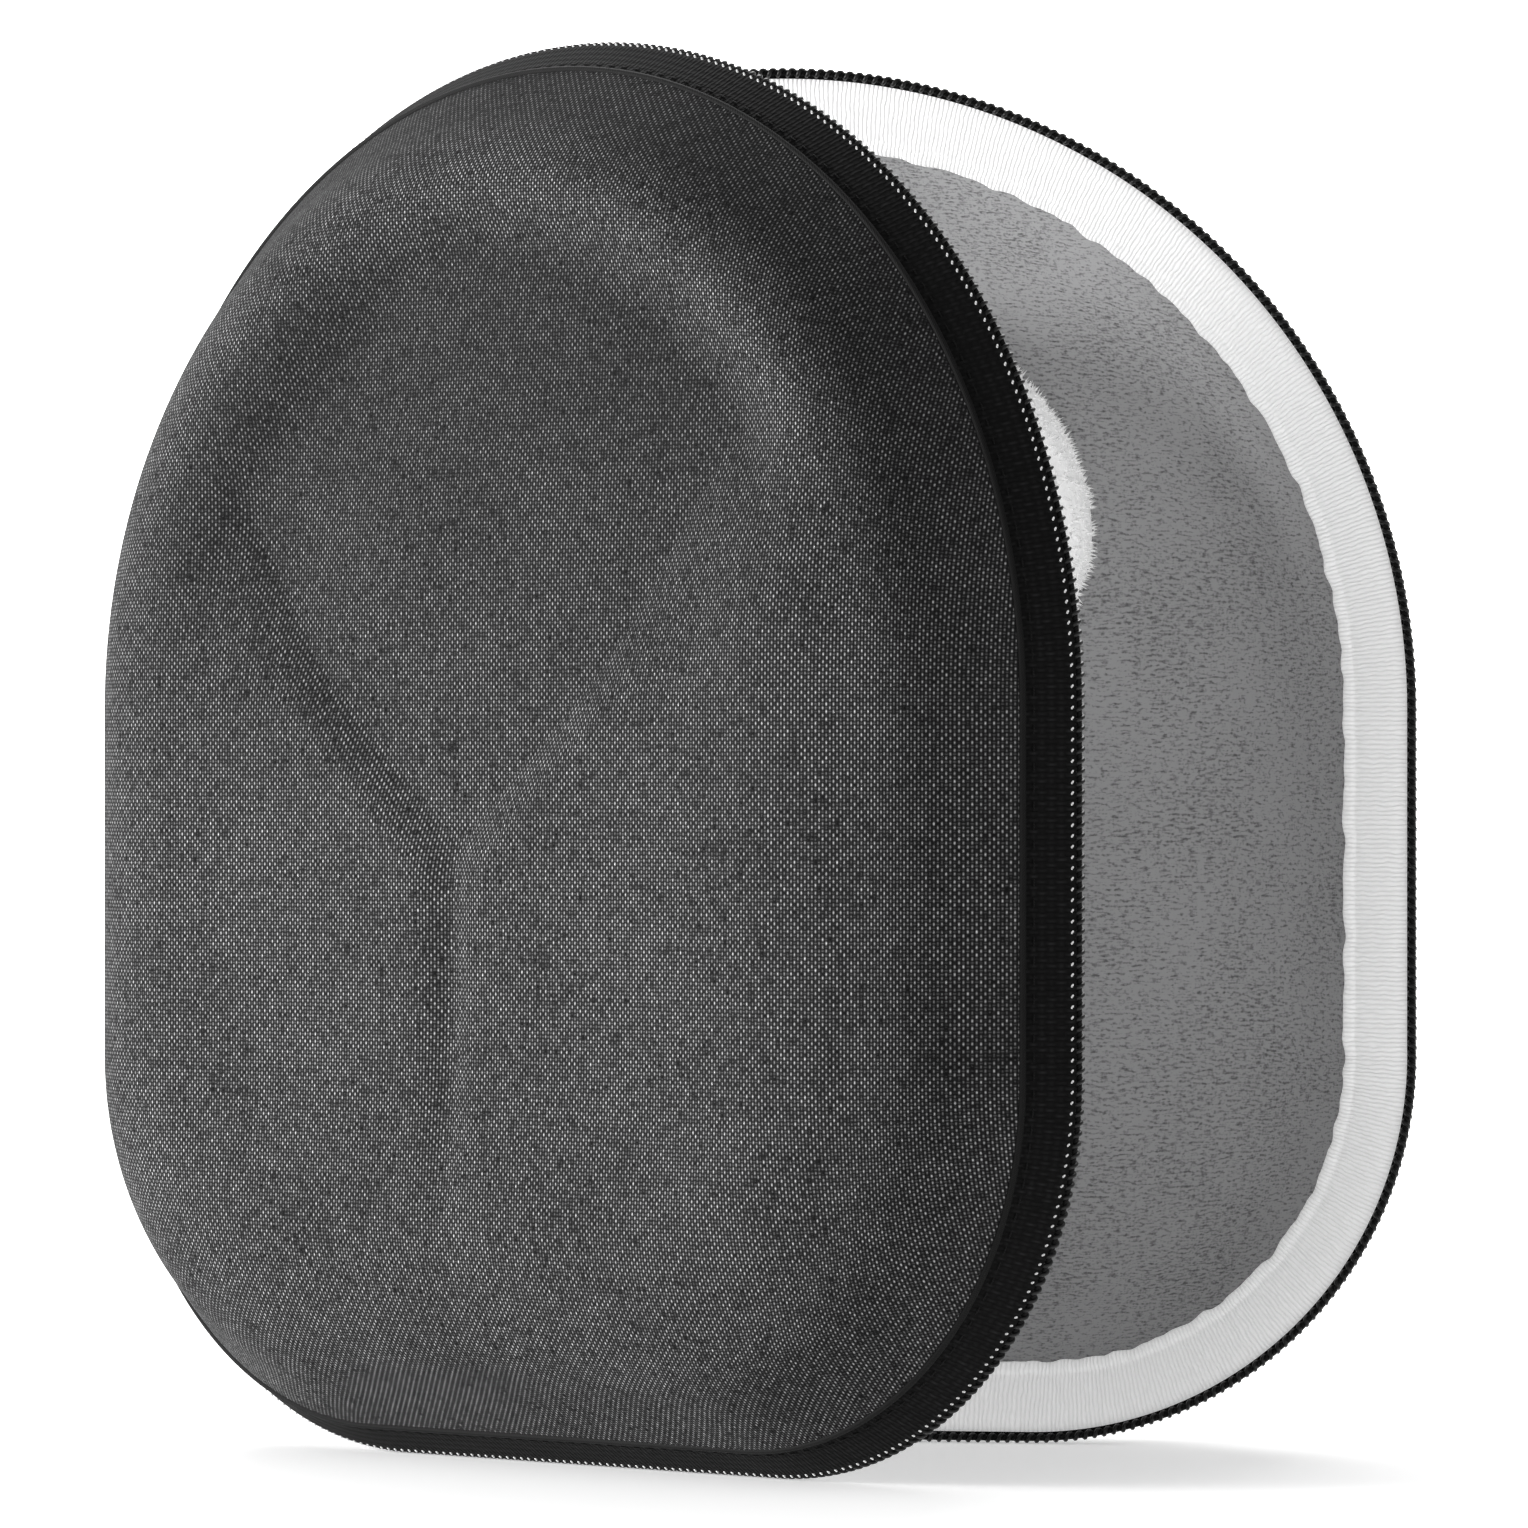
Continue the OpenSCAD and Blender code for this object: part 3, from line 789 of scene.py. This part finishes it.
# Collars. White ribbed canvas that hides the raw edges inside the mouth. It is sewn in beside
# the coil, slants inwards over the foam's edge and ends in a soft roll, which puckers a little
# because the straight strip is eased round the curves.
def ripple(way, seed, longest):
    """A calm random wave along the closed outline, about -1 to 1."""
    total = np.zeros(len(way))
    pick = np.random.default_rng(seed)
    low = int(girth / longest)
    for count in range(low, low * 5, max(1, low // 3)):
        total += np.sin(2 * math.pi * (way / girth * count + pick.random())) / 2.6
    return total


collar_front = [(1.9, 1.15), (3.6, 1.25), (5.6, 2.3), (8.2, 4.0), (10.6, 5.7), (11.5, 6.65)]
collar_roll = [(12.3, 6.75), (13.3, 7.4), (13.75, 8.4), (13.3, 9.4), (12.4, 9.6)]
collar_back = [(11.4, 8.3), (9.0, 6.2), (6.0, 3.7), (3.0, 2.1)]
collar_line = rounded(collar_front + collar_roll + collar_back, 44)
# How much each point of the section gives way to the puckers: most at the roll
give = smooth((collar_line[:, 0] - 9.5) / 4)

# Distance between neighbouring ribs
rib_pitch = 0.82
# The canvas glows faintly white: painted light that brightens the collars and the hinge lining
canvas, tree, shader = finish_of(
    "white_canvas_painted_glow", 0.9, Specular_IOR_Level=0.2, Emission_Strength=0.2
)
shader.inputs["Emission Color"].default_value = (1, 1, 1, 1)
along, across = cloth_place(tree)
far_at = vector_of(tree, maths(tree, "MULTIPLY", along, 0.5), maths(tree, "MULTIPLY", across, 0.35))
waver = maths(tree, "MULTIPLY", grain(tree, far_at, 1.0, 2.0), 3.0)
rib_at = maths(tree, "MULTIPLY_ADD", along, math.pi / rib_pitch, waver)
rise = maths(tree, "ABSOLUTE", maths(tree, "SINE", rib_at))
near_at = vector_of(
    tree, maths(tree, "MULTIPLY", along, 2.4), maths(tree, "MULTIPLY", across, 0.9), 2.0
)
fibres = maths(tree, "MULTIPLY_ADD", grain(tree, near_at, 1.0, 2.0), 0.8, -0.1)
# Painted shade: the rib grooves are painted darker than the rib crowns; the fibres vary in tone at
# random
share = clamp(tree, maths(tree, "ADD", maths(tree, "MULTIPLY", rise, 0.9), fibres))
tint(tree, shader, share, (0.70, 0.70, 0.70), (0.97, 0.97, 0.97))
relief(tree, shader, rise, 0.16)

for half, seed in (("base", 3), ("lid", 8)):
    way = np.arange(0, girth, 1.0)
    wave = ripple(way, seed, 26)[:, None] * give
    pucker = ripple(way, seed + 1, 14)[:, None] * give
    sections = np.tile(collar_line, (len(way), 1, 1))
    sections[..., 0] += 0.16 * wave + 0.05 * pucker
    sections[..., 1] += 0.12 * pucker
    if half == "lid":
        back = parked(stations(way))[:, None] * smooth((7.5 - sections[..., 0]) / 4)
        sections[..., 0] += 4.6 * back
        sections[..., 1] += 1.9 * back
    collar = strip(half + "_collar_canvas", half, way, sections, closed=True)
    collar.data.materials.append(canvas)
    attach(collar, half)
    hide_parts(half + "_collar")


# Cloth hinge. A doubled strip of black tape joins the halves for 50 mm beside the straight
# side, outside, and a white canvas strip covers it inside. Both fold about the meeting line.
def folded_strip(name, base_line, middle, lid_line, thick, tops, low, rows):
    """A strip of cloth across the hinge, from points [inset, depth] on each half."""
    path = [on_half("base", np.array([e - half_width, d, 0.0])) for e, d in base_line]
    path += [np.array([x, y, 0.0]) for x, y in middle]
    path += [on_half("lid", np.array([e - half_width, d, 0.0])) for e, d in lid_line]
    path = np.array(path)[:, :2]
    fine = np.linspace(0, len(path) - 1, 8 * len(path))
    x = curve_through(np.stack([np.arange(len(path)), path[:, 0]], 1), fine)
    y = curve_through(np.stack([np.arange(len(path)), path[:, 1]], 1), fine)
    go = np.stack([np.gradient(x), np.gradient(y)], 1)
    go /= np.linalg.norm(go, axis=1, keepdims=True)
    out = np.stack([go[:, 1], -go[:, 0]], 1)
    centre = np.stack([x, y], 1)
    ring = np.concatenate([centre + out * thick / 2, (centre - out * thick / 2)[::-1]])
    share = np.concatenate([fine, fine[::-1]]) / (len(path) - 1)
    top = tops[0] + (tops[1] - tops[0]) * smooth((share - 0.4) / 0.2)
    up = np.linspace(0, 1, rows)[:, None]
    z = low + (top - low) * up
    points = np.stack([np.tile(ring[:, 0], (rows, 1)), np.tile(ring[:, 1], (rows, 1)), z], -1)
    columns = len(ring)
    faces = quads(rows, columns, close_columns=True)
    for row, back in ((0, False), (rows - 1, True)):
        for k in range(columns // 2 - 1):
            pair = [k, k + 1, columns - 2 - k, columns - 1 - k]
            face = [row * columns + c for c in pair]
            faces.append(face[::-1] if back else face)
    lengths = np.concatenate([[0], np.cumsum(np.linalg.norm(np.diff(ring, axis=0), axis=1))])
    uvs = np.stack([z, np.tile(lengths, (rows, 1))], -1).reshape(-1, 2)
    return piece(name, points.reshape(-1, 3), faces, uvs, flip=True)


hinge_low = 72
hinge_tops = (121.6, 112.6)
outside = [(5.2, 8.6), (2.7, 4.8), (0.45, 1.3), (0.05, -0.5)]
fold = [(-half_width - 0.25, meet_y - 0.1)]
cloth = folded_strip(
    "hinge_cloth_folded", outside, fold, outside[::-1], 0.7, hinge_tops, hinge_low, 34
)
cloth.data.materials.append(tape_cloth)
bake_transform(cloth)
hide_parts("base_hinge_cloth", "lid_hinge_cloth")

inside = [(5.0, 1.5), (3.2, 0.8), (1.9, -0.3)]
inside_lid = [(6.6, 2.6), (4.2, 1.4), (2.2, -0.2)]
fold = [(-half_width + 1.2, meet_y - 0.1)]
lining = folded_strip(
    "hinge_lining_folded", inside, fold, inside_lid[::-1], 0.5, hinge_tops, hinge_low, 30
)
lining.data.materials.append(canvas)
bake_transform(lining)
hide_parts("base_hinge_lining", "lid_hinge_lining")

# Island. A block of soft foam under white short-pile plush, glued to the base's lining. The
# headband lies round its rounded top, and its pointed foot parts the two ear cups.
core_low, core_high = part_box("island_cover")
island_x = core_high.x * 1000
island_top = core_high.z * 1000
island_foot = core_low.z * 1000
island_z = 158
# The side of the island, as [distance inwards from its outline, depth]
island_line = [(1.0, 28.8), (0.1, 26.5), (0, 22), (0.8, 17), (3.2, 13), (7, 10.9)]
island_line += [(12, 10.0), (20, 9.6), (30, 9.5), (40, 9.5), (49, 9.5)]
foot_power = 1.5
# How far inwards the middle of the island is
island_middle = 51


def island_ring(inward, count):
    """The island's outline, moved inwards: an ellipse above and a pointed curve below."""
    turn = np.linspace(0, 2 * math.pi, count, endpoint=False)
    c, s = np.cos(turn), np.sin(turn)
    power = np.where(s >= 0, 1, 2 / foot_power)
    reach = np.where(s >= 0, island_top - island_z, island_z - island_foot)
    x = np.sign(c) * np.abs(c) ** power * island_x
    z = np.sign(s) * np.abs(s) ** power * reach
    shrink = 1 - inward / island_middle
    return x * shrink, z * shrink + island_z


count = 150
points, faces = [], []
for e, d in island_line:
    x, z = island_ring(e, count)
    points.append(np.stack([x, np.full(count, d), z], -1))
rows = len(points)
points = np.concatenate(points)
faces = quads(rows, count, close_columns=True)
faces += [list(range(count)), list(range((rows - 1) * count, rows * count))[::-1]]
plush = piece("island_plush", points, faces, sharp=180)
work = bmesh.new()
work.from_mesh(plush.data)
bmesh.ops.recalc_face_normals(work, faces=work.faces)
work.to_mesh(plush.data)
work.free()


# How deep the plush is glued along its back edge, in metres, and how long it is inflated
glue_deep = 0.004
puff_steps = 18


def puff(pad, grid_mm, pressure, most_mm):
    """Inflates a pad as cloth, moves no point further than most_mm, and keeps the result."""
    before_remesh = pad.modifiers.new("remesh", "REMESH")
    before_remesh.mode = "VOXEL"
    before_remesh.voxel_size = grid_mm / 1000
    shaped = bpy.data.meshes.new_from_object(pad.evaluated_get(bpy.context.evaluated_depsgraph_get()))
    pad.modifiers.clear()
    pad.data = shaped
    rest = np.array([v.co for v in shaped.vertices])
    held = pad.vertex_groups.new(name="glued")
    glue_y = rest[:, 1].max() - glue_deep
    held.add([int(k) for k in np.nonzero(rest[:, 1] > glue_y)[0]], 1.0, "REPLACE")
    cloth = pad.modifiers.new("cloth", "CLOTH")
    cloth.settings.use_pressure = True
    cloth.settings.uniform_pressure_force = pressure
    cloth.settings.vertex_group_mass = "glued"
    cloth.settings.effector_weights.gravity = 0
    scene = bpy.context.scene
    for step in range(1, puff_steps + 1):
        scene.frame_set(step)
    after = pad.evaluated_get(bpy.context.evaluated_depsgraph_get()).to_mesh()
    moved = np.array([v.co for v in after.vertices]) - rest
    far = np.linalg.norm(moved, axis=1, keepdims=True)
    moved *= np.minimum(1, most_mm / 1000 / np.maximum(far, 1e-9))
    pad.modifiers.clear()
    scene.frame_set(1)
    shaped.vertices.foreach_set("co", (rest + moved).ravel())
    shaped.update()


puff(plush, grid_mm=3.2, pressure=3.0, most_mm=1.3)
plush.data.polygons.foreach_set("use_smooth", np.ones(len(plush.data.polygons), bool))
plush.modifiers.new("round", "SUBSURF").levels = 1

# The plush glows faintly white: painted light that brightens it
plush_cloth, tree, shader = finish_of("white_plush", 0.95, Specular_IOR_Level=0.2, Emission_Strength=0.2)
shader.inputs["Emission Color"].default_value = (1, 1, 1, 1)
clumps = grain(tree, place_in_space(tree), 420, 5.0)
tint(tree, shader, clumps, (0.86, 0.86, 0.86), (0.98, 0.98, 0.98))
relief(tree, shader, clumps, 1.1, 0.8)
plush.data.materials.append(plush_cloth)
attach(plush, "base")
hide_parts("island_cover")

# Pile: short tapered tufts that lean at random over the plush, down to its glued edge
tufts = 9000
tuft_spread = 1.1
tuft_sink = 0.3
tuft_lean = 0.45
tuft_short, tuft_long = 1.2, 2.0
tuft_radius = 0.28
pile_end = 26
pick = np.random.default_rng(11)
mesh = plush.data
centres = np.array([p.center for p in mesh.polygons]) * 1000
normals = np.array([p.normal for p in mesh.polygons])
areas = np.array([p.area for p in mesh.polygons])
open_face = centres[:, 1] < pile_end
chosen = pick.choice(len(centres), tufts, p=areas * open_face / (areas * open_face).sum())
spread = pick.normal(0, tuft_spread, (tufts, 3))
normal = normals[chosen]
root = centres[chosen] + spread - (spread * normal).sum(1, keepdims=True) * normal - tuft_sink * normal
lean = normal + pick.normal(0, tuft_lean, (tufts, 3))
tall = pick.uniform(tuft_short, tuft_long, (tufts, 1))
tip = root + lean / np.linalg.norm(lean, axis=1, keepdims=True) * tall
side = np.cross(normal, pick.normal(0, 1, (tufts, 3)))
side *= tuft_radius / np.linalg.norm(side, axis=1, keepdims=True)
# The other two corners of each tuft's three-sided root
beside = np.cross(normal, side) * 0.87
corners = np.stack([root + side, root - side / 2 + beside, root - side / 2 - beside, tip], 1)
one = np.array([(0, 2, 1), (0, 1, 3), (1, 2, 3), (2, 0, 3)])
faces = (one[None] + 4 * np.arange(tufts)[:, None, None]).reshape(-1, 3).tolist()
pile = piece("island_pile", corners.reshape(-1, 3), faces, sharp=180)
pile.data.materials.append(plush_cloth)
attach(pile, "base")

core = frame["nodes"]["island_core"]
core.data.materials.clear()
soft_foam, tree, shader = finish_of("island_foam", 0.9)
cells = tree.nodes.new("ShaderNodeTexVoronoi")
cells.inputs["Scale"].default_value = 900
tree.links.new(place_in_space(tree), cells.inputs["Vector"])
tint(tree, shader, cells.outputs["Distance"], (0.55, 0.54, 0.5), (0.75, 0.74, 0.7))
relief(tree, shader, cells.outputs["Distance"], 0.4)
core.data.materials.append(soft_foam)


# Sliders, pulls, pins and stops. Die-cast zip sliders and pulls in satin black enamel, worn a
# little on their faces; the pins are plain steel wire, and the stops are blackened clamps.
def metal_finish(name, dark, light, rough, metallic):
    """Enamel or metal with a faint orange peel and scuffs."""
    material, tree, shader = finish_of(name, rough, Metallic=metallic, Specular_IOR_Level=0.25)
    scuffs = grain(tree, place_in_space(tree), 700, 6.0)
    tint(tree, shader, scuffs, dark, light)
    relief(tree, shader, scuffs, 0.03, 0.5)
    rough_by = maths(tree, "MULTIPLY_ADD", scuffs, 0.35, rough - 0.15)
    tree.links.new(rough_by, shader.inputs["Roughness"])
    return material


enamel = metal_finish("slider_enamel", (0.008, 0.008, 0.008), (0.03, 0.03, 0.03), 0.32, 0.0)
steel = metal_finish("pin_steel", (0.22, 0.22, 0.23), (0.42, 0.42, 0.43), 0.3, 1.0)
stop_metal = metal_finish("stop_metal", (0.05, 0.05, 0.052), (0.14, 0.14, 0.145), 0.4, 1.0)
for name, metal in (
    ("upper_slider", enamel),
    ("lower_slider", enamel),
    ("upper_pull", enamel),
    ("lower_pull", enamel),
    ("upper_slider_pin", steel),
    ("lower_slider_pin", steel),
    ("zip_stops", stop_metal),
):
    node = frame["nodes"][name]
    node.data.materials.clear()
    node.data.materials.append(metal)
    bevel = node.modifiers.new("soft_edges", "BEVEL")
    bevel.width = 0.00015
    bevel.segments = 2
    bevel.limit_method = "ANGLE"
